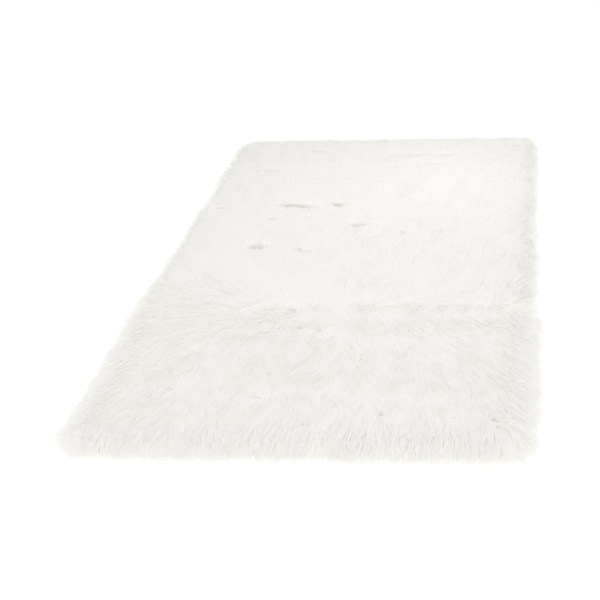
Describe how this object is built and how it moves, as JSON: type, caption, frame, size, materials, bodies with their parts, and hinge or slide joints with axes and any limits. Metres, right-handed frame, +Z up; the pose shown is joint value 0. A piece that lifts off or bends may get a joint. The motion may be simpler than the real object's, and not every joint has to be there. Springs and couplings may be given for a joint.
{
  "type": "shag rug",
  "caption": "Small rectangular floor rug of long-pile off-white faux fur, lying flat, with softly rounded corners, an uneven furry edge and shallow partings in the pile.",
  "frame": {"origin": "on the floor under the middle of the rug", "axes": "+Y along the rug's length, away from the end that faces the viewer; +X across its width; +Z up out of the pile"},
  "size_m": [0.6274, 1.5246, 0.0364],
  "materials": {
    "faux_fur": "off-white long-pile faux fur, silky, lying in soft overlapping locks on a knitted ground cloth"
  },
  "bodies": {
    "root": {"shag_rug": "faux_fur"}
  },
  "joints": []
}
